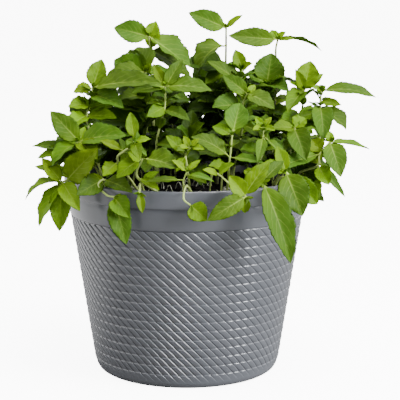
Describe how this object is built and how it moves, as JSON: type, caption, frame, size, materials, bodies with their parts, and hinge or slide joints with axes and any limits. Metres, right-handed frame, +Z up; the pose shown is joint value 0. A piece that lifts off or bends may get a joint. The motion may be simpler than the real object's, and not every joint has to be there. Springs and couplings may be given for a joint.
{
  "type": "potted mint plant",
  "caption": "Mint plant with paired toothed leaves on thin square stems, growing from soil in a round tapered planter with a woven relief.",
  "frame": {"origin": "middle of the pot's flat underside", "axes": "+Z up along the pot's axis, +X to the right seen from the front, -Y towards the viewer of the picture"},
  "size_m": [0.3525, 0.3245, 0.3715],
  "materials": {
    "pot": "satin, slightly mottled bluish grey",
    "soil": null,
    "mint": "soft leaf, faintly glossy, with pale veins; fabric stands in for leaf tissue"
  },
  "bodies": {
    "root": {"pot": "pot", "soil": "soil", "stem_tall_left": "mint", "stem_tall_centre": "mint", "stem_tall_right": "mint", "stem_left_high": "mint", "stem_left_front_high": "mint", "stem_left_mid": "mint", "stem_left": "mint", "stem_bottom_left": "mint", "stem_inner_left": "mint", "stem_low_left": "mint", "stem_low_centre": "mint", "stem_drooping_centre": "mint", "stem_centre_young": "mint", "stem_centre_upright": "mint", "stem_front_trailing": "mint", "stem_hanging_right": "mint", "stem_right_front": "mint", "stem_centre_sprig": "mint", "stem_pair_centre_right": "mint", "stem_upright_small": "mint", "stem_dark_right_top": "mint", "stem_right_top": "mint", "stem_right_upper": "mint", "stem_right": "mint", "stem_right_inner": "mint", "stem_left_trailing": "mint", "stem_dark_hanging": "mint", "stem_back_low_1": "mint", "stem_back_low_2": "mint", "stem_back_low_3": "mint", "stem_back_low_4": "mint", "stem_back_low_5": "mint", "stem_back_low_6": "mint", "stem_back_low_7": "mint", "stem_back_low_8": "mint", "stem_back_mid_1": "mint", "stem_back_mid_2": "mint", "stem_back_mid_3": "mint", "stem_back_mid_4": "mint", "stem_back_mid_5": "mint", "stem_back_mid_6": "mint", "stem_back_top_1": "mint", "stem_back_top_2": "mint", "stem_back_top_3": "mint", "stem_back_top_4": "mint", "stem_inner_1": "mint", "stem_inner_2": "mint", "stem_inner_3": "mint"}
  },
  "joints": []
}
